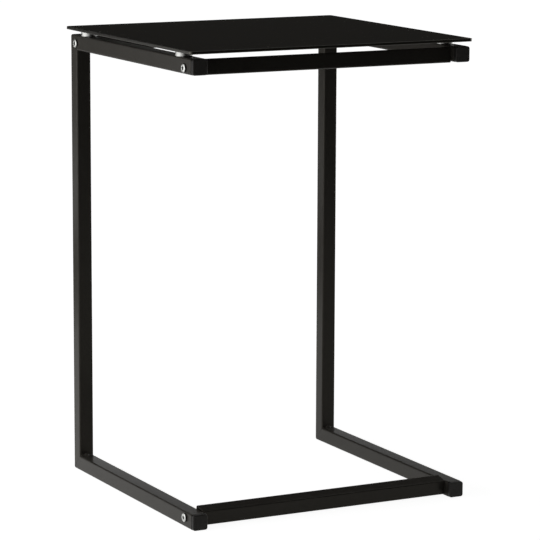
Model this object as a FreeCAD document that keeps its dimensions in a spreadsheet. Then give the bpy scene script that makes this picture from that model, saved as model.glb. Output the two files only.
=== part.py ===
"""C shaped side table: two welded tube frames, three bolted crossbars and a glass top (millimetres)."""
import FreeCAD, Part
import os
import Sketcher

doc = FreeCAD.newDocument("c_side_table")
sheet = doc.addObject("Spreadsheet::Sheet", "Sizes")

# Driving sizes: alias, value, meaning
DRIVING = (
    ("table_height", 600.0, "floor to the upper face of the glass"),
    ("glass_width", 400.0, "glass along the crossbars"),
    ("glass_depth", 380.0, "glass along the arms"),
    ("glass_thick", 4.0, "glass sheet thickness"),
    ("glass_corner", 5.0, "glass corner radius in plan"),
    ("glass_arris", 0.7, "ground bevel on the glass edges"),
    ("side_overhang", 4.0, "glass beyond the frame at each side"),
    ("rear_overhang", 7.5, "glass beyond the uprights"),
    ("front_overhang", 1.5, "glass beyond the end caps"),
    ("tube_side", 20.0, "square tube, outside"),
    ("tube_wall", 1.2, "tube wall thickness"),
    ("tube_round", 2.0, "outside radius along the tube edges"),
    ("corner_round", 3.0, "ground radius on the outside of each mitre"),
    ("spacer_height", 6.0, "arm to glass"),
    ("spacer_width", 22.0, "spacer disc diameter"),
    ("spacer_inset", 47.0, "spacer centre from the front or rear edge of the glass"),
    ("bolt_setback", 20.5, "front bolts from the front end of the tubes"),
    ("bolt_level", 12.4, "front bolts from the outer face of an arm"),
    ("rear_bolt_setback", 17.0, "rear bolts from the rear face of the uprights"),
    ("rear_bolt_level", 11.0, "rear bolts from the upper face of the arms"),
    ("bolt_width", 6.0, "bolt shank diameter"),
    ("bolt_reach", 33.0, "bolt length under the head"),
    ("bolt_play", 0.3, "radial clearance around a shank"),
    ("head_width", 11.0, "button head diameter"),
    ("head_height", 2.6, "button head height"),
    ("head_flat", 7.0, "flat on top of the button head"),
    ("socket_flats", 4.0, "hexagon socket across flats"),
    ("socket_depth", 2.0, "hexagon socket depth"),
    ("insert_length", 18.0, "threaded plug inside a bar end"),
    ("insert_play", 0.1, "gap between a plug and the tube wall"),
    ("plug_corner", 0.8, "bevel along the corners of plugs and ribs"),
    ("upper_bar_turn", 6.5, "front face of the upper bar tipped up, degrees"),
    ("lower_bar_turn", 11.5, "front face of the lower bar tipped down, degrees"),
    ("cap_flange", 4.0, "visible thickness of an end cap"),
    ("cap_edge", 1.4, "bevel round the front of an end cap"),
    ("cap_plug", 14.0, "length of the plug inside the tube"),
    ("cap_wall", 1.8, "wall of the plug"),
    ("cap_play", 0.7, "gap between plug and tube"),
    ("rib_play", 0.1, "gap between the plug ribs and the tube"),
    ("rib_thick", 1.2, "rib thickness"),
    ("rib_pitch", 5.0, "spacing of the ribs"),
    ("cut_margin", 3.0, "how far cutting outlines run past the metal"),
)

# Sizes worked out from the driving ones
DERIVED = (
    ("frame_height", "table_height - glass_thick - spacer_height"),
    ("half_height", "frame_height / 2"),
    ("frame_width", "glass_width - 2 * side_overhang"),
    ("half_width", "frame_width / 2"),
    ("frame_rear", "glass_depth / 2 - rear_overhang"),
    ("arm_length", "glass_depth - rear_overhang - front_overhang - cap_flange"),
    ("half_side", "tube_side / 2"),
    ("arm_centre", "half_width - half_side"),
    ("half_bore", "half_side - tube_wall"),
    ("mitre_reach", "tube_side + cut_margin"),
    ("round_in", "corner_round * (1 - sqrt(0.5))"),
    ("mitre_level", "half_height - mitre_reach"),
    ("round_in_level", "half_height - round_in"),
    ("round_level", "half_height - corner_round"),
    ("outer_level", "half_height + cut_margin"),
    ("bolt_hole", "bolt_width + 2 * bolt_play"),
    ("bolt_radius", "bolt_width / 2"),
    ("head_radius", "head_width / 2"),
    ("head_flat_radius", "head_flat / 2"),
    ("socket_corner", "socket_flats / sqrt(3)"),
    ("socket_half_corner", "socket_corner / 2"),
    ("socket_half_flat", "socket_flats / 2"),
    ("front_bolt_run", "arm_length - bolt_setback"),
    ("bar_length", "frame_width - 2 * tube_side"),
    ("half_bar", "bar_length / 2"),
    ("insert_half", "half_bore - insert_play"),
    ("insert_flat", "insert_half - plug_corner"),
    ("spacer_run", "glass_depth / 2 - spacer_inset"),
    ("sleeve_half", "half_bore - cap_play"),
    ("sleeve_flat", "sleeve_half - plug_corner"),
    ("sleeve_bore", "sleeve_half - cap_wall"),
    ("rib_half", "half_bore - rib_play"),
    ("rib_flat", "rib_half - plug_corner"),
)

row = 0
for alias, value, meaning in DRIVING:
    row += 1
    sheet.set(f"A{row}", meaning)
    sheet.set(f"B{row}", str(value))
    sheet.setAlias(f"B{row}", alias)
doc.recompute()
for alias, rule in DERIVED:
    row += 1
    sheet.set(f"B{row}", "=" + rule)
    sheet.setAlias(f"B{row}", alias)
    doc.recompute()


def size(term):
    """Number behind a size name, a size name with a leading minus, or zero."""
    if term == "0":
        return 0.0
    if term.startswith("-"):
        return -getattr(sheet, term[1:])
    return getattr(sheet, term)


def formula(term):
    """Expression text for a size name with or without a leading minus."""
    if term.startswith("-"):
        return "-Sizes." + term[1:]
    return "Sizes." + term


def new_body(label, x="0", y="0", z="0", axis=None, turn=None):
    """Body placed by size names, and turned about an axis by a size name if one is given."""
    body = doc.addObject("PartDesign::Body", label)
    body.Label = label
    if turn:
        spin = FreeCAD.Rotation(FreeCAD.Vector(*axis), size(turn))
        body.Placement = FreeCAD.Placement(FreeCAD.Vector(0, 0, 0), spin)
        body.setExpression("Placement.Rotation.Angle", formula(turn))
    for letter, text in (("x", x), ("y", y), ("z", z)):
        if text != "0":
            body.setExpression("Placement.Base." + letter, text)
    return body


def new_sketch(body, role, across=None, level=None):
    """Sketch on an origin plane, moved up the sketch by across and off the plane by level."""
    sketch = body.newObject("Sketcher::SketchObject", body.Label + "_sketch")
    plane = [item for item in body.Origin.OriginFeatures if item.Role == role][0]
    sketch.AttachmentSupport = [(plane, "")]
    sketch.MapMode = "FlatFace"
    if across:
        sketch.setExpression("AttachmentOffset.Base.y", across)
    if level:
        sketch.setExpression("AttachmentOffset.Base.z", level)
    return sketch


def add_named(sketch, name, value_term, *parts):
    """Add a dimension, name it and tie it to a size."""
    number = sketch.addConstraint(Sketcher.Constraint(*parts, abs(size(value_term))))
    sketch.renameConstraint(number, name)
    sketch.setExpression("Constraints." + name, formula(value_term.lstrip("-")))


def add_rectangle(sketch, width, height, radius):
    """Rectangle with rounded corners, centred on the sketch origin."""
    w, h, r = size(width) / 2, size(height) / 2, size(radius)
    v = FreeCAD.Vector
    up = v(0, 0, 1)
    first = sketch.GeometryCount
    sketch.addGeometry(Part.LineSegment(v(r - w, -h, 0), v(w - r, -h, 0)))
    sketch.addGeometry(Part.LineSegment(v(w, r - h, 0), v(w, h - r, 0)))
    sketch.addGeometry(Part.LineSegment(v(w - r, h, 0), v(r - w, h, 0)))
    sketch.addGeometry(Part.LineSegment(v(-w, h - r, 0), v(-w, r - h, 0)))
    quarter = 1.5707963267948966
    centres = ((w - r, r - h), (w - r, h - r), (r - w, h - r), (r - w, r - h))
    for index, (cx, cy) in enumerate(centres):
        circle = Part.Circle(v(cx, cy, 0), up, r)
        sketch.addGeometry(Part.ArcOfCircle(circle, (index - 1) * quarter, index * quarter))
    for index in range(4):
        line, arc, following = first + index, first + 4 + index, first + (index + 1) % 4
        sketch.addConstraint(Sketcher.Constraint("Tangent", line, 2, arc, 1))
        sketch.addConstraint(Sketcher.Constraint("Tangent", arc, 2, following, 1))
        if index > 0:
            sketch.addConstraint(Sketcher.Constraint("Equal", first + 4, arc))
    for index in (0, 2):
        sketch.addConstraint(Sketcher.Constraint("Horizontal", first + index))
        sketch.addConstraint(Sketcher.Constraint("Vertical", first + index + 1))
    sketch.addConstraint(Sketcher.Constraint("Symmetric", first + 4, 3, first + 6, 3, -1, 1))
    tag = f"r{first}"
    add_named(sketch, tag + "w", width, "DistanceX", first + 3, 1, first + 1, 1)
    add_named(sketch, tag + "h", height, "DistanceY", first, 1, first + 2, 1)
    add_named(sketch, tag + "c", radius, "Radius", first + 4)


def tie_point(sketch, name, item, end, x_term, y_term):
    """Fix one end of a line by its signed distances from the sketch origin."""
    if x_term == "0":
        sketch.addConstraint(Sketcher.Constraint("PointOnObject", item, end, -2))
    elif x_term.startswith("-"):
        add_named(sketch, name + "x", x_term, "DistanceX", item, end, -1, 1)
    else:
        add_named(sketch, name + "x", x_term, "DistanceX", -1, 1, item, end)
    if y_term == "0":
        sketch.addConstraint(Sketcher.Constraint("PointOnObject", item, end, -1))
    elif y_term.startswith("-"):
        add_named(sketch, name + "y", y_term, "DistanceY", item, end, -1, 1)
    else:
        add_named(sketch, name + "y", y_term, "DistanceY", -1, 1, item, end)


def add_outline(sketch, points, arc_from=None, arc_radius=None, centre_left=True):
    """Closed outline through points given by size names; one side may be an arc, centred left or right of it."""
    v = FreeCAD.Vector
    spots = [v(size(x), size(y), 0) for x, y in points]
    first = sketch.GeometryCount
    count = len(points)
    starts = {}
    for index in range(count):
        a, b = spots[index], spots[(index + 1) % count]
        starts[index] = (first + index, 1, first + index, 2)
        if index == arc_from:
            chord = b - a
            inward = v(-chord.y, chord.x, 0).normalize() * (1 if centre_left else -1)
            radius = size(arc_radius)
            centre = (a + b) / 2 + inward * (radius ** 2 - chord.Length ** 2 / 4) ** 0.5
            ends = (a, b)
            if not centre_left:
                ends = (b, a)
                starts[index] = (first + index, 2, first + index, 1)
            sketch.addGeometry(Part.Arc(ends[0], centre - inward * radius, ends[1]))
        else:
            sketch.addGeometry(Part.LineSegment(a, b))
    for index in range(count):
        item, _, _, end = starts[index]
        following = starts[(index + 1) % count]
        sketch.addConstraint(Sketcher.Constraint("Coincident", item, end, following[0], following[1]))
    for index, (x_term, y_term) in enumerate(points):
        item, end = starts[index][0], starts[index][1]
        if index == arc_from:
            item, end = starts[index - 1][2], starts[index - 1][3]
        tie_point(sketch, f"p{first + index}", item, end, x_term, y_term)
    if arc_from is not None:
        add_named(sketch, f"a{first}", arc_radius, "Radius", first + arc_from)


def add_bevelled_square(sketch, half, flat):
    """Square of half width half whose corners are cut off where the flats end."""
    signs = (("", "-"), ("", ""), ("-", ""), ("-", "-"))
    corners = []
    for number, (sx, sy) in enumerate(signs):
        pair = [(sx + half, sy + flat), (sx + flat, sy + half)]
        corners.extend(pair if number % 2 else pair[::-1])
    add_outline(sketch, corners)


def add_square(sketch, half):
    """Square of half width half, centred on the sketch origin."""
    add_outline(sketch, (("-" + half, "-" + half), (half, "-" + half), (half, half), ("-" + half, half)))


def add_circle(sketch, x_term, y_term, width):
    """Circle centred at signed distances from the sketch origin."""
    centre = FreeCAD.Vector(size(x_term), size(y_term), 0)
    item = sketch.addGeometry(Part.Circle(centre, FreeCAD.Vector(0, 0, 1), size(width) / 2))
    tie_point(sketch, f"c{item}", item, 3, x_term, y_term)
    add_named(sketch, f"d{item}", width, "Diameter", item)


def pad(body, sketch, length, side="One side", backwards=False):
    """Extrude a sketch by a size."""
    feature = body.newObject("PartDesign::Pad", body.Label + "_pad")
    feature.Profile = sketch
    feature.SideType = side
    feature.Reversed = backwards
    feature.setExpression("Length", formula(length))
    doc.recompute()
    return feature


def cut_through(body, sketch):
    """Cut a sketch right through the body on both sides of its plane."""
    before = body.Shape.Volume
    feature = body.newObject("PartDesign::Pocket", body.Label + "_cut")
    feature.Profile = sketch
    feature.Type = "ThroughAll"
    feature.SideType = "Symmetric"
    doc.recompute()
    if body.Shape.Volume >= before:
        raise RuntimeError(body.Label + ": a cut removed nothing")
    return feature


def edges_at(shape, axis, value):
    """Names of the edges that lie wholly in a plane across one axis."""
    names = []
    for number, edge in enumerate(shape.Edges, 1):
        if all(abs(getattr(vertex.Point, axis) - value) < 1e-6 for vertex in edge.Vertexes):
            names.append(f"Edge{number}")
    return names


# Tube frames
def make_arm(label, side, top):
    """Mitred arm: origin on the outer rear corner line, running forward."""
    sign, inward = ("", "-") if top else ("-", "")
    level = "Sizes.frame_height" if top else "0"
    body = new_body(label, side + "Sizes.arm_centre", "Sizes.frame_rear", level)
    section = new_sketch(body, "XZ_Plane", across=inward + "Sizes.half_side")
    add_rectangle(section, "tube_side", "tube_side", "tube_round")
    add_square(section, "half_bore")
    pad(body, section, "arm_length")
    mitre = new_sketch(body, "YZ_Plane")
    outline = (
        ("-mitre_reach", inward + "mitre_reach"),
        ("-round_in", inward + "round_in"),
        ("-corner_round", "0"),
        ("-corner_round", sign + "cut_margin"),
        ("cut_margin", sign + "cut_margin"),
        ("cut_margin", inward + "mitre_reach"),
    )
    add_outline(mitre, outline, arc_from=1, arc_radius="corner_round", centre_left=top)
    cut_through(body, mitre)
    holes = new_sketch(body, "YZ_Plane")
    add_circle(holes, "-front_bolt_run", inward + "bolt_level", "bolt_hole")
    if top:
        add_circle(holes, "-rear_bolt_setback", inward + "rear_bolt_level", "bolt_hole")
    cut_through(body, holes)
    return body


def make_upright(label, side):
    """Upright mitred at both ends: origin half way up its rear face."""
    body = new_body(label, side + "Sizes.arm_centre", "Sizes.frame_rear", "Sizes.half_height")
    section = new_sketch(body, "XY_Plane", across="-Sizes.half_side")
    add_rectangle(section, "tube_side", "tube_side", "tube_round")
    add_square(section, "half_bore")
    pad(body, section, "frame_height", side="Symmetric")
    for sign in ("", "-"):
        mitre = new_sketch(body, "YZ_Plane")
        outline = (
            ("-mitre_reach", sign + "mitre_level"),
            ("-round_in", sign + "round_in_level"),
            ("0", sign + "round_level"),
            ("cut_margin", sign + "round_level"),
            ("cut_margin", sign + "outer_level"),
            ("-mitre_reach", sign + "outer_level"),
        )
        add_outline(mitre, outline, arc_from=1, arc_radius="corner_round", centre_left=(sign == "-"))
        cut_through(body, mitre)
    return body


bodies = []
for name, side in (("left", "-"), ("right", "")):
    bodies.append(make_arm(name + "_top_arm", side, True))
    bodies.append(make_upright(name + "_upright", side))
    bodies.append(make_arm(name + "_bottom_arm", side, False))

# Crossbars with threaded plugs in both ends, and the bolts
FRONT_Y = "Sizes.frame_rear - Sizes.front_bolt_run"
REAR_Y = "Sizes.frame_rear - Sizes.rear_bolt_setback"
BARS = (
    ("top_front", FRONT_Y, "Sizes.frame_height - Sizes.bolt_level", (-1, 0, 0), "upper_bar_turn"),
    ("top_rear", REAR_Y, "Sizes.frame_height - Sizes.rear_bolt_level", None, None),
    ("bottom_front", FRONT_Y, "Sizes.bolt_level", (1, 0, 0), "lower_bar_turn"),
)


def make_bar(label, y, z, axis, turn):
    """Square tube between the frames, centred on its bolts."""
    body = new_body(label, "0", y, z, axis, turn)
    section = new_sketch(body, "YZ_Plane")
    add_rectangle(section, "tube_side", "tube_side", "tube_round")
    add_square(section, "half_bore")
    pad(body, section, "bar_length", side="Symmetric")
    return body


def make_insert(label, side, y, z, axis, turn):
    """Threaded plug flush with one end of a bar."""
    body = new_body(label, side + "Sizes.half_bar", y, z, axis, turn)
    section = new_sketch(body, "YZ_Plane")
    add_bevelled_square(section, "insert_half", "insert_flat")
    add_circle(section, "0", "0", "bolt_hole")
    pad(body, section, "insert_length", backwards=(side == ""))
    return body


def make_bolt(label, side, y, z):
    """Button-head socket bolt: origin under the head, shank along the sketch axis."""
    body = new_body(label, side + "Sizes.half_width", y, z)
    profile = new_sketch(body, "XZ_Plane")
    out, shank = ("-", "") if side == "-" else ("", "-")
    outline = (
        (out + "head_height", "0"),
        (out + "head_height", "head_flat_radius"),
        ("0", "head_radius"),
        ("0", "bolt_radius"),
        (shank + "bolt_reach", "bolt_radius"),
        (shank + "bolt_reach", "0"),
    )
    add_outline(profile, outline)
    turned = body.newObject("PartDesign::Revolution", label + "_turned")
    turned.Profile = profile
    turned.ReferenceAxis = (profile, ["H_Axis"])
    turned.Angle = 360.0
    doc.recompute()
    before = body.Shape.Volume
    socket = new_sketch(body, "YZ_Plane", level=formula(out + "head_height"))
    corners = (
        ("socket_corner", "0"),
        ("socket_half_corner", "socket_half_flat"),
        ("-socket_half_corner", "socket_half_flat"),
        ("-socket_corner", "0"),
        ("-socket_half_corner", "-socket_half_flat"),
        ("socket_half_corner", "-socket_half_flat"),
    )
    add_outline(socket, corners)
    drive = body.newObject("PartDesign::Pocket", label + "_socket")
    drive.Profile = socket
    drive.Reversed = side == "-"
    drive.setExpression("Length", formula("socket_depth"))
    doc.recompute()
    if body.Shape.Volume >= before:
        raise RuntimeError(label + ": the socket removed nothing")
    return body


for name, y, z, axis, turn in BARS:
    bodies.append(make_bar(name + "_bar", y, z, axis, turn))
    for end, side in (("left", "-"), ("right", "")):
        bodies.append(make_insert(f"{name}_{end}_insert", side, y, z, axis, turn))
        bodies.append(make_bolt(f"{name}_{end}_bolt", side, y, z))


# End caps
def make_cap(label, side, top):
    """Plastic cap: origin on the open end of an arm, flange forward, ribbed plug inside."""
    level = "Sizes.frame_height - Sizes.half_side" if top else "Sizes.half_side"
    body = new_body(label, side + "Sizes.arm_centre", "Sizes.frame_rear - Sizes.arm_length", level)
    face = new_sketch(body, "XZ_Plane")
    add_rectangle(face, "tube_side", "tube_side", "tube_round")
    flange = pad(body, face, "cap_flange")
    bevelled = body.newObject("PartDesign::Chamfer", label + "_bevel")
    bevelled.Base = (flange, edges_at(flange.Shape, "y", -size("cap_flange")))
    bevelled.setExpression("Size", formula("cap_edge"))
    doc.recompute()
    sleeve = new_sketch(body, "XZ_Plane")
    add_bevelled_square(sleeve, "sleeve_half", "sleeve_flat")
    add_square(sleeve, "sleeve_bore")
    pad(body, sleeve, "cap_plug", backwards=True)
    for number in (1, 2):
        rib = new_sketch(body, "XZ_Plane", level=f"-{number} * Sizes.rib_pitch")
        add_bevelled_square(rib, "rib_half", "rib_flat")
        add_square(rib, "sleeve_bore")
        pad(body, rib, "rib_thick")
    return body


for end, top in (("top", True), ("bottom", False)):
    for name, side in (("left", "-"), ("right", "")):
        bodies.append(make_cap(f"{end}_{name}_cap", side, top))


# Spacers and glass
def make_spacer(label, side, forward):
    """Metal disc that holds the glass off an arm."""
    y = forward + "Sizes.spacer_run"
    body = new_body(label, side + "Sizes.arm_centre", y, "Sizes.frame_height")
    disc = new_sketch(body, "XY_Plane")
    add_circle(disc, "0", "0", "spacer_width")
    pad(body, disc, "spacer_height")
    return body


for place, forward in (("front", "-"), ("rear", "")):
    for name, side in (("left", "-"), ("right", "")):
        bodies.append(make_spacer(f"{place}_{name}_spacer", side, forward))

glass = new_body("glass_top", "0", "0", "Sizes.frame_height + Sizes.spacer_height")
plan = new_sketch(glass, "XY_Plane")
add_rectangle(plan, "glass_width", "glass_depth", "glass_corner")
sheet_pad = pad(glass, plan, "glass_thick")
bevel = glass.newObject("PartDesign::Chamfer", "glass_bevel")
rims = edges_at(sheet_pad.Shape, "z", 0.0) + edges_at(sheet_pad.Shape, "z", size("glass_thick"))
bevel.Base = (sheet_pad, rims)
bevel.setExpression("Size", formula("glass_arris"))
doc.recompute()
bodies.append(glass)

# Check every feature and write one file per piece
doc.recompute()
for item in doc.Objects:
    if "Invalid" in item.State or "Error" in item.State:
        raise RuntimeError(f"{item.Label}: {item.State}")
os.makedirs("parts", exist_ok=True)
for body in bodies:
    if not body.Shape.isValid() or len(body.Shape.Solids) != 1:
        raise RuntimeError(f"{body.Label}: not one valid solid")
    body.Shape.exportStep(f"parts/{body.Label}.step")
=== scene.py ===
"""Looks of a C shaped side table with a black glass top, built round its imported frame, in metres.

The origin is on the floor under the middle of the glass, +Z is up, and the C opens towards -Y.
"""
import math

import bpy
import numpy as np
from mathutils import Matrix, Vector


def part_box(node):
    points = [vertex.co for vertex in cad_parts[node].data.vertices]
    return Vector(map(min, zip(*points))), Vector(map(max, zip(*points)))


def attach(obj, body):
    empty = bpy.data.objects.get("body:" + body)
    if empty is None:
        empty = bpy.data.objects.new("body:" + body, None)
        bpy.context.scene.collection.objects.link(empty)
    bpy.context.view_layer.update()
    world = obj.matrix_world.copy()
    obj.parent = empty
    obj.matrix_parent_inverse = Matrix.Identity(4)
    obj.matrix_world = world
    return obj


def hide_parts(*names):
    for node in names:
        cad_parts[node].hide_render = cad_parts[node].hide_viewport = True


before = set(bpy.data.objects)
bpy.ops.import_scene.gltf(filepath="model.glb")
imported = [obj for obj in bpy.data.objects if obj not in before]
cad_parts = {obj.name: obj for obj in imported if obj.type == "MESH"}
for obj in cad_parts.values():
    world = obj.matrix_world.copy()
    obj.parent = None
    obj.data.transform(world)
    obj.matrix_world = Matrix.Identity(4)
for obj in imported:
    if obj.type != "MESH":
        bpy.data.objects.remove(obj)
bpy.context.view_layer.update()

MM = 0.001
SIDES = ("left", "right")
ENDS = ("top", "bottom")
BARS = ("top_front", "top_rear", "bottom_front")
BAR_TURN = {"top_front": -6.5, "top_rear": 0.0, "bottom_front": 11.5}  # degrees about its own length
TACK = {"top": 0.55, "bottom": -0.05}  # where a weld swells, from -1 to 1 across the tube

# Sizes read from the frame
arm_low, arm_high = (np.array(v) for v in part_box("left_top_arm"))
cap_low, cap_high = (np.array(v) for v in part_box("top_left_cap"))
TUBE = arm_high[0] - arm_low[0]
HALF = TUBE / 2
FRAME_TOP = arm_high[2]
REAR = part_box("left_upright")[1][1]
CAP_LENGTH = cap_high[1] - cap_low[1]

# Sizes of the tubes and of what closes them
TUBE_WALL = 1.2 * MM
TUBE_EDGE = 2.0 * MM
BORE_EDGE = 0.8 * MM
FRAME_CORNER = 3.0 * MM
BURR = 0.2 * MM
MITRE_GROOVE = 0.22 * MM
CAP_FLANGE = 6.5 * MM
CAP_EDGE = 3.0 * MM
CAP_ROUND = 1.4 * MM
ARM_RUN = REAR - cap_low[1] - CAP_FLANGE

# Sizes of the glass, spacers and bolts
GLASS_CORNER = 5.0 * MM
GLASS_RIM = 0.8 * MM
GLASS_DULL = (1.0, 0.42, 0.0)  # painted below, ground edge, polished above
SPACER_RIM = 0.5 * MM
BOLT_HEAD = 5.5 * MM
BOLT_SHANK = 3.0 * MM
BOLT_REACH = 33.0 * MM

# Steps round a tube edge, a cap front, a glass corner, a rim, a bolt's dome and a full turn
EDGE_STEPS, CAP_STEPS, GLASS_STEPS, RIM_STEPS, DOME_STEPS, AROUND = 6, 7, 10, 5, 8, 96
ROUND = np.linspace(0.0, 2 * np.pi, AROUND, endpoint=False)
SHARP_ANGLE = math.radians(38)
FLAT_WEIGHT = 80


# Shapes
def rounded_outline(half_x, half_y, radius, steps=EDGE_STEPS):
    """Rounded rectangle: each corner centre plus the radius times cosine and sine over its quarter turn.

    Columns of sizes give a stack of outlines.
    """
    turn = np.linspace(0.0, 0.5 * np.pi, steps + 1)
    angle = (turn[None, :] + 0.5 * np.pi * np.arange(4)[:, None]).ravel()
    along_x = np.repeat([1.0, -1.0, -1.0, 1.0], steps + 1)
    along_y = np.repeat([1.0, 1.0, -1.0, -1.0], steps + 1)
    x = along_x * (half_x - radius) + radius * np.cos(angle)
    y = along_y * (half_y - radius) + radius * np.sin(angle)
    return np.stack([x, y], -1)


def at_levels(outlines, levels):
    """Outlines lifted to their levels: the level joins each point as its third number."""
    third = np.broadcast_to(levels, outlines.shape[:-1])
    return np.concatenate([outlines, third[..., None]], -1)


def edge_weight():
    """How far round an edge each outline point lies: the sine of its angle doubled, none on the flats."""
    return np.tile(np.sin(np.linspace(0.0, np.pi, EDGE_STEPS + 1)), 4)


def quarter(radius, steps):
    """Quarter round of an edge as columns of inset and level: radius less radius times sine and cosine."""
    angle = np.linspace(0.0, 0.5 * np.pi, steps + 1)[:, None]
    return radius * (1 - np.sin(angle)), radius * (1 - np.cos(angle))


def rim_profile(radius, height):
    """Both rounded rims of a flat piece: a quarter round, and the same counted down from the height."""
    inset, level = quarter(radius, RIM_STEPS)
    return np.concatenate([inset, inset[::-1]]), np.concatenate([level, height - level[::-1]])


def skin(name, rings, material, joined=False, wear_dull_and_shade=None):
    """Closed surface through rings of points: quads between neighbours, flat ends unless the rings join up.

    The faces are turned outwards by the sign of the volume, a sixth of the sum of triple products.
    """
    rings = np.asarray(rings, float)
    count, around = rings.shape[:2]
    points = rings.reshape(-1, 3)
    index = np.arange(count * around).reshape(count, around)
    lower = index if joined else index[:-1]
    upper = np.roll(index, -1, 0) if joined else index[1:]
    quads = np.stack([lower, np.roll(lower, -1, 1), np.roll(upper, -1, 1), upper], -1).reshape(-1, 4)
    ends = [] if joined else [index[0][::-1], index[-1]]
    a, b, c, d = (points[quads[:, k]] for k in range(4))
    volume = np.einsum("ij,ij->", a, np.cross(b, c)) + np.einsum("ij,ij->", a, np.cross(c, d))
    for end in ends:
        fan = points[end]
        volume += np.einsum("j,ij->", fan[0], np.cross(fan[1:-1], fan[2:]))
    outward = slice(None, None, -1 if volume < 0 else 1)
    faces = quads[:, outward].tolist() + [end[outward].tolist() for end in ends]
    mesh = bpy.data.meshes.new(name)
    mesh.from_pydata(points.tolist(), [], faces)
    mesh.polygons.foreach_set("use_smooth", np.ones(len(mesh.polygons), bool))
    mesh.set_sharp_from_angle(angle=SHARP_ANGLE)
    # the attribute holds wear on the coat, dullness on the glass and painted shade on the bolts and end
    # caps
    wear_dull_and_shade_values = np.zeros(len(points)) if wear_dull_and_shade is None else np.broadcast_to(wear_dull_and_shade, (count, around)).ravel()
    mesh.attributes.new("wear_dull_and_shade", "FLOAT", "POINT").data.foreach_set("value", wear_dull_and_shade_values.astype(np.float32))
    mesh.materials.append(material)
    mesh.update()
    piece = bpy.data.objects.new(name, mesh)
    bpy.context.scene.collection.objects.link(piece)
    shade = piece.modifiers.new("flat_faces", "WEIGHTED_NORMAL")
    shade.keep_sharp = True
    shade.weight = FLAT_WEIGHT
    return piece


def dress(piece, slot, *nodes):
    """A finished piece rides on the table and stands for its CAD nodes; the slot is not used."""
    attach(piece, "root")
    if nodes:
        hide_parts(*nodes)


OUTER = rounded_outline(HALF, HALF, TUBE_EDGE)
DRAWN_IN = rounded_outline(HALF - BURR, HALF - BURR, TUBE_EDGE - BURR)
BORE = rounded_outline(HALF - TUBE_WALL, HALF - TUBE_WALL, BORE_EDGE)
BORE_DEPTH = BORE[:, 1] + HALF


def tube_ring(outline, run):
    """One ring of (across, depth, run): an outline, depth counted from one face, at a run along a tube."""
    depth = outline[:, 1] + HALF
    return np.stack([outline[:, 0], depth, np.broadcast_to(run, depth.shape)], 1)


def mitre_rings():
    """Rings of (across, depth, run) that bring a tube to its mitre.

    Depth counts from the outside of the corner and run along the tube. Shallow points go round an arc of
    the corner radius less their depth, deep ones run straight, and all end where run equals depth. The last
    ring is drawn in a little, so that two tubes meet in a fine groove.
    """
    lead, turns = 1.5 * MM, 5
    across, depth = OUTER[:, 0], OUTER[:, 1] + HALF
    start = tube_ring(OUTER, np.maximum(depth, FRAME_CORNER) + lead)
    step = np.arange(turns + 1)[:, None]
    angle = 0.25 * np.pi * step / turns
    near = depth < FRAME_CORNER
    arc = FRAME_CORNER - depth
    run = np.where(near, FRAME_CORNER - arc * np.sin(angle), depth + lead * (1 - (step + 1) / (turns + 1)))
    deep = np.where(near, FRAME_CORNER - arc * np.cos(angle), depth)
    run[-1] += MITRE_GROOVE
    bend = np.stack([np.broadcast_to(across, run.shape), deep, run], -1)
    face = DRAWN_IN[:, 1] + HALF
    face = np.where(face < FRAME_CORNER, FRAME_CORNER - (FRAME_CORNER - face) * math.sqrt(0.5), face)
    end = np.stack([DRAWN_IN[:, 0], face, face], 1)
    return np.concatenate([[start], bend, [end]])


def arm_rings():
    """An arm: from the mitre forward to the sawn end with its edge broken, then back along the bore."""
    sawn = [tube_ring(OUTER, ARM_RUN - BURR), tube_ring(DRAWN_IN, ARM_RUN)]
    bore = [tube_ring(BORE, ARM_RUN), tube_ring(BORE, BORE_DEPTH)]
    return np.concatenate([mitre_rings()[::-1], sawn, bore])


def post_rings():
    """An upright: from the lower mitre to the upper one, then back down the bore."""
    upper = mitre_rings()
    upper[:, :, 2] = FRAME_TOP - upper[:, :, 2]
    bore = [tube_ring(BORE, FRAME_TOP - BORE_DEPTH), tube_ring(BORE, BORE_DEPTH)]
    return np.concatenate([mitre_rings()[::-1], upper, bore])


def bar_rings(half_length):
    """A crossbar along X: two sawn ends with their edges broken, then back along the bore."""
    shoulder = half_length - BURR
    stops = ((DRAWN_IN, -half_length), (OUTER, -shoulder), (OUTER, shoulder), (DRAWN_IN, half_length),
             (BORE, half_length), (BORE, -half_length))
    return np.roll([at_levels(outline, x) for outline, x in stops], 1, -1)


def turned(rings, degrees):
    """Rings turned about X: y and z mixed by the cosine and sine of the angle."""
    c, s = math.cos(math.radians(degrees)), math.sin(math.radians(degrees))
    x, y, z = np.moveaxis(rings, -1, 0)
    return np.stack([x, c * y - s * z, s * y + c * z], -1)


def round_rings(radius, level):
    """Surface round the third axis: radius times cosine and sine, at each level.

    The radii are a column, or a table with a value for every step round.
    """
    x, y = radius * np.cos(ROUND), radius * np.sin(ROUND)
    return np.stack([x, y, np.broadcast_to(level, x.shape)], -1)


def cap_rings():
    """An end cap along its own axis: rounded front, flush flange, fine seam, then a hollow plug.

    Each ring is an outline drawn in by its inset; outside, its edge radius shrinks by the same inset.
    """
    front_inset, front_run = quarter(CAP_ROUND, CAP_STEPS)
    seam_inset = np.array([[0.0], [0.22], [0.8]]) * MM
    seam_run = CAP_FLANGE - np.array([[0.9], [0.5], [0.0]]) * MM
    plug_inset = np.array([[1.95], [1.95], [3.75], [3.75]]) * MM
    plug_run = np.array([[CAP_FLANGE], [CAP_LENGTH], [CAP_LENGTH], [CAP_FLANGE + 0.5 * MM]])
    plug_edge = np.array([[0.6], [0.6], [0.5], [0.5]]) * MM
    inset = np.concatenate([front_inset, seam_inset, plug_inset])
    run = np.concatenate([front_run, seam_run, plug_run])
    edge = np.concatenate([CAP_EDGE - front_inset, CAP_EDGE - seam_inset, plug_edge])
    return at_levels(rounded_outline(HALF - inset, HALF - inset, edge), run)


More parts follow.
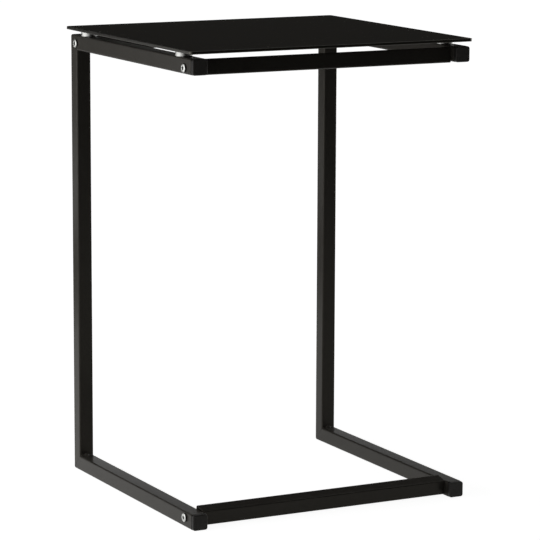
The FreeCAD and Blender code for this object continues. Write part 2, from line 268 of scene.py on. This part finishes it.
def bolt_rings():
    """A button-head bolt: a hexagon socket, its lead-in, a domed head, the seat and the shank.

    The hexagon's radius is half its width over the cosine of the angle from the nearest flat. The dome goes
    out by the sine and down by the cosine of a quarter turn.
    """
    top, wall, flat, rim_burr = 2.6 * MM, 1.6 * MM, 3.5 * MM, 0.15 * MM
    socket_half, socket_deep, tip, tip_radius = 2.0 * MM, 2.0 * MM, 0.8 * MM, 2.3 * MM
    lead_deep, lead_least, lead_out = 0.25 * MM, 2.3 * MM, 0.1 * MM
    hexagon = socket_half / np.cos(np.mod(ROUND, np.pi / 3) - np.pi / 6)
    lead_in = np.maximum(hexagon, lead_least) + lead_out
    turn = np.linspace(0.0, 0.5 * np.pi, DOME_STEPS + 1)
    dome = flat + (BOLT_HEAD - flat) * np.sin(turn)
    below = [BOLT_HEAD, BOLT_HEAD - rim_burr, BOLT_SHANK, BOLT_SHANK, tip_radius]
    plain = np.repeat(np.concatenate([dome, below])[:, None], AROUND, 1)
    dome_level = wall + (top - wall) * np.cos(turn)
    socket_level = [top - socket_deep, top - lead_deep, top]
    below_level = [rim_burr, 0.0, 0.0, tip - BOLT_REACH, -BOLT_REACH]
    level = np.concatenate([socket_level, dome_level, below_level])
    return round_rings(np.concatenate([[hexagon, hexagon, lead_in], plain]), level[:, None])


def weld_rings(tack_at):
    """A weld in an inside corner: a quarter disc whose size runs low along the seam and swells at a tack.

    The tack is a bell curve, one over one plus the fourth power, and a sine ripples the whole bead. A power
    a little over one hollows the quarter disc.
    """
    least, bead, swell, sink, inside = 0.25 * MM, 1.5 * MM, 2.1 * MM, 0.4 * MM, 1.0 * MM
    tack_width, ripple_share, ripples, stray, strays, hollow = 0.3, 0.06, 30.0, 0.7, 5.0, 1.2
    place = np.linspace(-1.0, 1.0, 81)[:, None]
    ripple = 1 + ripple_share * np.sin(place * ripples + stray * np.sin(place * strays))
    tack = 1 / (1 + ((place - tack_at) / tack_width) ** 4)
    size = least + (bead + swell * tack) * ((1 - np.abs(place) ** 4) ** 0.5 * ripple)
    turn = np.linspace(0.0, 0.5 * np.pi, 11)
    sunk = np.full(place.shape, -sink)
    out = np.concatenate([size * np.cos(turn) ** hollow, sunk, sunk, size], 1)
    up = np.concatenate([size * np.sin(turn) ** hollow, size, sunk, sunk], 1)
    across = np.broadcast_to(place * (HALF - inside), out.shape)
    return np.stack([across, out, up], -1)


# Materials
def new_material(name, **sockets):
    """Principled material with plain numbers set on its own sockets."""
    material = bpy.data.materials.new(name)
    material.use_nodes = True
    shader = material.node_tree.nodes["Principled BSDF"]
    for socket, value in sockets.items():
        shader.inputs[socket.replace("_", " ")].default_value = value
    return material, material.node_tree, shader


def link(tree, source, target):
    """One wire from an output to an input."""
    tree.links.new(source, target)


def add_noise(tree, scale, detail=3.0, rough=0.55, stretch=None):
    """Noise on Object coordinates, stretched along the axes if asked."""
    place = tree.nodes.new("ShaderNodeTexCoord").outputs["Object"]
    if stretch:
        mapping = tree.nodes.new("ShaderNodeMapping")
        mapping.inputs["Scale"].default_value = stretch
        link(tree, place, mapping.inputs["Vector"])
        place = mapping.outputs["Vector"]
    noise = tree.nodes.new("ShaderNodeTexNoise")
    noise.inputs["Scale"].default_value = scale
    noise.inputs["Detail"].default_value = detail
    noise.inputs["Roughness"].default_value = rough
    link(tree, place, noise.inputs["Vector"])
    return noise.outputs["Fac"]


def add_range(tree, value, seen, gives=(0.0, 1.0)):
    """Value carried from the range in which it is seen to the range that it gives."""
    node = tree.nodes.new("ShaderNodeMapRange")
    for socket, number in zip(("From Min", "From Max", "To Min", "To Max"), (*seen, *gives)):
        node.inputs[socket].default_value = number
    link(tree, value, node.inputs["Value"])
    return node.outputs["Result"]


def add_mix(tree, factor, first, second):
    """Colour between two, by a factor; each may be a plain colour or another node."""
    node = tree.nodes.new("ShaderNodeMix")
    node.data_type = "RGBA"
    colours = [s for s in node.inputs if s.type == "RGBA"]
    for socket, value in zip(colours, (first, second)):
        if isinstance(value, tuple):
            socket.default_value = value
        else:
            link(tree, value, socket)
    link(tree, factor, node.inputs["Factor"])
    return [s for s in node.outputs if s.type == "RGBA"][0]


def add_math(tree, kind, first, second):
    """One sum, product or comparison of two values."""
    node = tree.nodes.new("ShaderNodeMath")
    node.operation = kind
    for socket, value in zip(node.inputs, (first, second)):
        if isinstance(value, float):
            socket.default_value = value
        else:
            link(tree, value, socket)
    return node.outputs["Value"]


def add_wear_dull_and_shade(tree):
    """The piece's own attribute: rubbed edges on the coat, dull places on the glass, painted shade on the
    bolts and end caps.
    """
    node = tree.nodes.new("ShaderNodeAttribute")
    node.attribute_name = "wear_dull_and_shade"
    return node.outputs["Fac"]


def add_bump(tree, shader, height, strength, distance, onto=None):
    """Small relief from a height, on top of another if asked."""
    bump = tree.nodes.new("ShaderNodeBump")
    bump.inputs["Strength"].default_value = strength
    bump.inputs["Distance"].default_value = distance
    link(tree, height, bump.inputs["Height"])
    if onto:
        link(tree, onto, bump.inputs["Normal"])
    link(tree, bump.outputs["Normal"], shader.inputs["Normal"])
    return bump.outputs["Normal"]


def grey(value, warm=0.0):
    """Grey with its red raised by the share of warmth and its blue lowered by 1.6 times that."""
    return (value * (1 + warm), value, value * (1 - 1.6 * warm), 1.0)


WARM_GLOSS = (1.0, 0.95, 0.8, 1.0)


def make_coat():
    """Black powder coat: fine orange peel, patchy gloss, a little paler where the edges are rubbed."""
    material, tree, shader = new_material(
        "black_powder_coat", Specular_IOR_Level=0.115, Specular_Tint=WARM_GLOSS)
    patch = add_range(tree, add_noise(tree, scale=38.0, detail=4.0), seen=(0.35, 0.7))
    base = add_mix(tree, patch, grey(0.053, warm=0.08), grey(0.058, warm=0.08))
    scuffs = add_noise(tree, scale=420.0, detail=4.0, rough=0.65)
    scuffed = add_range(tree, scuffs, seen=(0.5, 0.75), gives=(0.0, 0.5))
    rubbed = add_math(tree, "MULTIPLY", add_wear_dull_and_shade(tree), scuffed)
    link(tree, add_mix(tree, rubbed, base, grey(0.08, warm=0.05)), shader.inputs["Base Color"])
    gloss = add_range(tree, add_noise(tree, scale=95.0), seen=(0.3, 0.7), gives=(0.285, 0.315))
    smoothed = add_math(tree, "MULTIPLY", rubbed, 0.06)
    link(tree, add_math(tree, "SUBTRACT", gloss, smoothed), shader.inputs["Roughness"])
    peel = add_noise(tree, scale=900.0, detail=2.0, rough=0.4)
    grain = add_noise(tree, scale=2600.0, detail=2.0)
    relief = add_bump(tree, shader, peel, strength=0.14, distance=0.06 * MM)
    add_bump(tree, shader, grain, strength=0.12, distance=0.02 * MM, onto=relief)
    return material


def make_glass():
    """Black tempered glass: polished above with faint wiping marks, ground at the edge, painted below."""
    material, tree, shader = new_material(
        "black_glass", IOR=1.5, Specular_IOR_Level=0.5, Specular_Tint=WARM_GLOSS)
    dust = add_range(tree, add_noise(tree, scale=26.0, detail=5.0, rough=0.6), seen=(0.42, 0.75))
    tint = add_mix(tree, dust, grey(0.0046, warm=0.06), grey(0.0054, warm=0.06))
    link(tree, tint, shader.inputs["Base Color"])
    wiped = add_noise(tree, scale=14.0, detail=4.0, rough=0.6, stretch=(1.0, 4.5, 1.0))
    gloss = add_range(tree, wiped, seen=(0.35, 0.75), gives=(0.06, 0.09))
    ground = add_math(tree, "MULTIPLY", add_wear_dull_and_shade(tree), 0.55)
    link(tree, add_math(tree, "ADD", gloss, ground), shader.inputs["Roughness"])
    add_bump(tree, shader, add_noise(tree, scale=9.0, detail=1.0), strength=0.03, distance=0.3 * MM)
    return material


def make_polished():
    """Polished metal disc: turning lines round its wall and a soft haze."""
    material, tree, shader = new_material("polished_metal", Metallic=1.0)
    stain = add_range(tree, add_noise(tree, scale=130.0, detail=4.0), seen=(0.35, 0.75))
    metal = add_mix(tree, stain, (0.4, 0.4, 0.387, 1.0), (0.36, 0.36, 0.348, 1.0))
    link(tree, metal, shader.inputs["Base Color"])
    haze = add_range(tree, add_noise(tree, scale=240.0), seen=(0.3, 0.7), gives=(0.37, 0.44))
    link(tree, haze, shader.inputs["Roughness"])
    lines = add_noise(tree, scale=300.0, detail=2.0, rough=0.5, stretch=(0.12, 0.12, 14.0))
    add_bump(tree, shader, lines, strength=0.18, distance=0.03 * MM)
    return material


def make_zinc():
    """Bright zinc plate of the bolts: faint blotches, fine pits, and painted shade that darkens the socket
    and the rim.
    """
    material, tree, shader = new_material("bright_zinc", Metallic=1.0)
    blotch = add_range(tree, add_noise(tree, scale=520.0, detail=4.0, rough=0.6), seen=(0.38, 0.68))
    plate = add_mix(tree, blotch, (0.57, 0.575, 0.555, 1.0), (0.49, 0.495, 0.475, 1.0))
    # painted shade: the plate goes nearly black in the socket and round the rim
    zinc_with_painted_shade = add_mix(tree, add_wear_dull_and_shade(tree), plate, (0.04, 0.04, 0.038, 1.0))
    link(tree, zinc_with_painted_shade, shader.inputs["Base Color"])
    gloss = add_range(tree, add_noise(tree, scale=800.0), seen=(0.3, 0.7), gives=(0.26, 0.34))
    link(tree, gloss, shader.inputs["Roughness"])
    add_bump(tree, shader, add_noise(tree, scale=1900.0, detail=2.0), strength=0.1, distance=0.02 * MM)
    return material


def make_plastic():
    """Black moulded plastic of the end caps: fine spark texture, and painted shade that leaves the sides
    darker than the front.
    """
    material, tree, shader = new_material("black_cap_plastic", Specular_IOR_Level=0.2)
    tone = add_range(tree, add_noise(tree, scale=70.0), seen=(0.35, 0.7))
    front = add_mix(tree, tone, grey(0.037, warm=0.06), grey(0.043, warm=0.06))
    # painted shade: the sides of the cap go darker than its front
    link(tree, add_mix(tree, add_wear_dull_and_shade(tree), front, grey(0.016, warm=0.06)), shader.inputs["Base Color"])
    satin = add_range(tree, add_noise(tree, scale=310.0), seen=(0.3, 0.7), gives=(0.46, 0.58))
    link(tree, satin, shader.inputs["Roughness"])
    spark = add_noise(tree, scale=1500.0, rough=0.6)
    add_bump(tree, shader, spark, strength=0.3, distance=0.06 * MM)
    return material


def make_steel():
    """Turned steel of the plugs: drawn lines along the bar, black coat on the faces that look along it."""
    material, tree, shader = new_material("turned_steel", Metallic=1.0)
    drawn = add_noise(tree, scale=260.0, rough=0.5, stretch=(0.08, 3.0, 3.0))
    lines = add_range(tree, drawn, seen=(0.35, 0.65))
    bare = add_mix(tree, lines, (0.5, 0.5, 0.49, 1.0), (0.36, 0.36, 0.35, 1.0))
    facing = tree.nodes.new("ShaderNodeSeparateXYZ")
    link(tree, tree.nodes.new("ShaderNodeTexCoord").outputs["Normal"], facing.inputs["Vector"])
    coated = add_math(tree, "GREATER_THAN", add_math(tree, "ABSOLUTE", facing.outputs["X"], 0.0), 0.7)
    link(tree, add_mix(tree, coated, bare, grey(0.03, warm=0.06)), shader.inputs["Base Color"])
    link(tree, add_range(tree, lines, seen=(0.0, 1.0), gives=(0.3, 0.45)), shader.inputs["Roughness"])
    return material


COAT, GLASS, POLISHED = make_coat(), make_glass(), make_polished()
ZINC, PLASTIC, STEEL = make_zinc(), make_plastic(), make_steel()

# Welded frames
edge_rub = edge_weight()
for side in SIDES:
    low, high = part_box(side + "_upright")
    middle = (low[0] + high[0]) / 2
    for end in ENDS:
        across, depth, run = np.moveaxis(arm_rings(), -1, 0)
        level = FRAME_TOP - depth if end == "top" else depth
        name = f"{side}_{end}_arm"
        arm = np.stack([middle + across, REAR - run, level], -1)
        dress(skin(name + "_tube", arm, COAT, True, edge_rub), "black_coat", name)
        across, out, up = np.moveaxis(weld_rings(TACK[end]), -1, 0)
        level = FRAME_TOP - TUBE - up if end == "top" else TUBE + up
        bead = np.stack([middle + across, REAR - TUBE - out, level], -1)
        dress(skin(f"{side}_{end}_weld", bead, COAT), "black_coat")
    across, depth, run = np.moveaxis(post_rings(), -1, 0)
    post = np.stack([middle + across, REAR - depth, run], -1)
    dress(skin(side + "_upright_tube", post, COAT, True, edge_rub), "black_coat", side + "_upright")

# Crossbars and their bolts; painted shade lies in the socket, on the foot of the dome and round the rim
bolt_painted_shade = np.zeros((len(bolt_rings()), 1))
bolt_painted_shade[:2] = 0.85
bolt_painted_shade[9:14] = np.array([[0.1], [0.5], [1.0], [1.0], [1.0]])
for bar in BARS:
    low, high = (np.array(v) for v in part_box(bar + "_bar"))
    centre = (low + high) / 2
    tube = turned(bar_rings((high[0] - low[0]) / 2), BAR_TURN[bar]) + centre
    dress(skin(bar + "_tube", tube, COAT, True, edge_rub), "black_coat", bar + "_bar")
    for side in SIDES:
        outward = -1.0 if side == "left" else 1.0
        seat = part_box(side + "_upright")[0 if side == "left" else 1][0]
        u, v, w = np.moveaxis(bolt_rings(), -1, 0)
        bolt = np.stack([seat + outward * w, centre[1] + u, centre[2] + v], -1)
        dress(skin(f"{bar}_{side}_screw", bolt, ZINC, False, bolt_painted_shade), "bright_zinc", f"{bar}_{side}_bolt")

# End caps; painted shade comes in round the front edge and covers the sides
cap_side_painted_shade = np.ones((len(cap_rings()), 1))
cap_side_painted_shade[:CAP_STEPS + 1, 0] = np.linspace(0.0, 1.0, CAP_STEPS + 1) ** 2
for end in ENDS:
    for side in SIDES:
        node = f"{end}_{side}_cap"
        low, high = (np.array(v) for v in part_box(node))
        middle = (low + high) / 2
        across, up, run = np.moveaxis(cap_rings(), -1, 0)
        cap = np.stack([middle[0] + across, low[1] + run, middle[2] + up], -1)
        dress(skin(f"{end}_{side}_end_cap", cap, PLASTIC, False, cap_side_painted_shade), "black_plastic", node)

# Spacer discs
for place in ("front", "rear"):
    for side in SIDES:
        node = f"{place}_{side}_spacer"
        low, high = (np.array(v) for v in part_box(node))
        inset, level = rim_profile(SPACER_RIM, high[2] - low[2])
        disc = round_rings((high[0] - low[0]) / 2 - inset, level)
        centre = np.array([(low[0] + high[0]) / 2, (low[1] + high[1]) / 2, low[2]])
        dress(skin(node + "_disc", disc + centre, POLISHED), "polished_metal", node)

# Glass sheet
low, high = (np.array(v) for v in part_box("glass_top"))
half_glass = (high - low) / 2
inset, level = rim_profile(GLASS_RIM, high[2] - low[2])
outline = rounded_outline(half_glass[0] - inset, half_glass[1] - inset, GLASS_CORNER - inset, GLASS_STEPS)
dull = np.full(inset.shape, GLASS_DULL[1])
dull[0], dull[-1] = GLASS_DULL[0], GLASS_DULL[2]
sheet = at_levels(outline, low[2] + level)
dress(skin("glass_sheet", sheet, GLASS, False, dull), "black_glass", "glass_top")

# Plugs inside the bar ends keep their CAD shape
for bar in BARS:
    for side in SIDES:
        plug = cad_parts[f"{bar}_{side}_insert"]
        plug.data.materials.clear()
        plug.data.materials.append(STEEL)


# Stage, light and camera
WHITE = (1.0, 1.0, 1.0, 1.0)
AMBIENT, SKY = 0.06, 1.0
FLOOR_REACH = 40.0
FLOOR_PAINT = (0.6, 0.6, 0.6, 1.0)
FLOOR_GLOW = (0.93, 1.0)  # near the table and far from it
FLOOR_NEAR_FAR = (0.5, 2.2)
# painted light: the cloth's glow stands in for spill light falling on it
CLOTH_SPILL_GLOW = (0.019, 0.0182, 0.0165, 1.0)
LAMPS = (  # name, spot, aim, width, height, watts
    ("left_softbox", (-1.45, 0.46, 0.46), (0.0, 0.0, 0.25), 2.2, 0.85, 10.2),
    ("top_softbox", (-0.7, 0.5, 2.5), (0.0, 0.0, 0.0), 2.0, 2.0, 2.5),
    ("right_fill", (2.3, 0.8, 0.3), (0.0, 0.0, 0.3), 1.8, 0.5, 12.0),
)
CURTAINS = (  # name, distance, first and last turn in degrees from +Y towards +X, lower and upper edge
    ("front_curtain", 1.7, (130, 220), (0.02, 3.2)),
    ("left_curtain", 3.0, (305, 365), (0.02, 3.2)),
    ("left_skirt", 1.35, (305, 335), (0.0, 0.16)),
    ("rear_skirt", 1.2, (335, 355), (0.0, 0.16)),
    ("rear_curtain", 1.7, (5, 25), (0.435, 3.2)),
    ("right_curtain", 1.7, (25, 55), (0.33, 3.2)),
)
CURTAIN_STEP = 10
CAMERA_SPOT = (-1.7124, -3.3137, 0.9448)
CAMERA_TURN = (27.437, -10.015, 0.215)  # yaw, pitch and roll in degrees
CAMERA_LENS, CAMERA_SENSOR, CAMERA_FAR = 191.59, 36.0, 200.0


def white_to_eye(tree):
    """One where a camera, glossy or transmission ray looks, none for diffuse light."""
    path = tree.nodes.new("ShaderNodeLightPath")
    both = add_math(tree, "MAXIMUM", path.outputs["Is Camera Ray"], path.outputs["Is Glossy Ray"])
    return add_math(tree, "MAXIMUM", both, path.outputs["Is Transmission Ray"])


def stage_material(name):
    """Empty material for the stage, with its output."""
    material = bpy.data.materials.new(name)
    material.use_nodes = True
    material.node_tree.nodes.clear()
    out = material.node_tree.nodes.new("ShaderNodeOutputMaterial")
    return material, material.node_tree, out.inputs["Surface"]


def make_floor():
    """Pale floor that reads white and keeps the table's soft shadow; it brightens with distance from it."""
    material, tree, surface = stage_material("pale_floor")
    paint = tree.nodes.new("ShaderNodeBsdfDiffuse")
    paint.inputs["Color"].default_value = FLOOR_PAINT
    away = tree.nodes.new("ShaderNodeVectorMath")
    away.operation = "LENGTH"
    link(tree, tree.nodes.new("ShaderNodeTexCoord").outputs["Object"], away.inputs[0])
    bright = add_range(tree, away.outputs["Value"], FLOOR_NEAR_FAR, FLOOR_GLOW)
    glow = tree.nodes.new("ShaderNodeEmission")
    link(tree, add_math(tree, "MULTIPLY", white_to_eye(tree), bright), glow.inputs["Strength"])
    both = tree.nodes.new("ShaderNodeAddShader")
    link(tree, paint.outputs[0], both.inputs[0])
    link(tree, glow.outputs[0], both.inputs[1])
    link(tree, both.outputs[0], surface)
    return material


def make_cloth():
    """Dark cloth with a dim glow, painted light that stands in for spill falling on it, seen by whatever
    reflects it.
    """
    material, tree, surface = stage_material("dark_cloth")
    dim = tree.nodes.new("ShaderNodeEmission")
    dim.inputs["Color"].default_value = CLOTH_SPILL_GLOW
    link(tree, dim.outputs[0], surface)
    return material


def add_sheet(name, points, quads, material):
    """Open sheet of quads for the stage."""
    mesh = bpy.data.meshes.new(name)
    mesh.from_pydata(points.tolist(), [], quads.tolist())
    mesh.materials.append(material)
    sheet = bpy.data.objects.new(name, mesh)
    bpy.context.scene.collection.objects.link(sheet)
    return sheet


def add_lamp(name, spot, aim, width, height, power):
    """Soft rectangular lamp at a spot, turned to its aim."""
    lamp = bpy.data.lights.new(name, "AREA")
    lamp.shape = "RECTANGLE"
    lamp.size, lamp.size_y, lamp.energy = width, height, power
    holder = bpy.data.objects.new(name, lamp)
    holder.location = spot
    holder.rotation_euler = (Vector(aim) - Vector(spot)).to_track_quat("-Z", "Y").to_euler()
    bpy.context.scene.collection.objects.link(holder)


def add_curtain(name, radius, turns, edges, cloth):
    """Dark studio curtain on an arc round the table, radius times sine and cosine, hung between two edges.

    Reflections see it; the camera and the lamps do not.
    """
    turn = np.radians(np.arange(turns[0], turns[1] + 1, CURTAIN_STEP))
    line = radius * np.column_stack([np.sin(turn), np.cos(turn)])
    points = np.concatenate([at_levels(line, edge) for edge in edges])
    start = np.arange(len(line) - 1)
    quads = np.stack([start, start + 1, start + 1 + len(line), start + len(line)], 1)
    sheet = add_sheet(name, points, quads, cloth)
    sheet.visible_camera = sheet.visible_shadow = sheet.visible_diffuse = False


floor_corners = FLOOR_REACH * np.array([(-1, -1, 0), (1, -1, 0), (1, 1, 0), (-1, 1, 0)])
add_sheet("pale_floor", floor_corners, np.arange(4)[None, :], make_floor())

world = bpy.data.worlds.new("studio")
bpy.context.scene.world = world
world.use_nodes = True
sky = world.node_tree.nodes["Background"]
sky.inputs["Color"].default_value = WHITE
strength = add_range(world.node_tree, white_to_eye(world.node_tree), seen=(0.0, 1.0), gives=(AMBIENT, SKY))
link(world.node_tree, strength, sky.inputs["Strength"])

for lamp in LAMPS:
    add_lamp(*lamp)
dark_cloth = make_cloth()
for curtain in CURTAINS:
    add_curtain(*curtain, dark_cloth)

camera = bpy.data.cameras.new("photo_camera")
camera.lens = CAMERA_LENS
camera.sensor_width = CAMERA_SENSOR
camera.clip_end = CAMERA_FAR
stand = bpy.data.objects.new("photo_camera", camera)
yaw, pitch, roll = (math.radians(v) for v in CAMERA_TURN)
level_aim = Matrix.Rotation(-yaw, 4, "Z") @ Matrix.Rotation(0.5 * math.pi + pitch, 4, "X")
stand.matrix_world = Matrix.Translation(CAMERA_SPOT) @ level_aim @ Matrix.Rotation(roll, 4, "Z")
bpy.context.scene.collection.objects.link(stand)
bpy.context.scene.camera = stand

bpy.context.scene.view_settings.view_transform = "Standard"
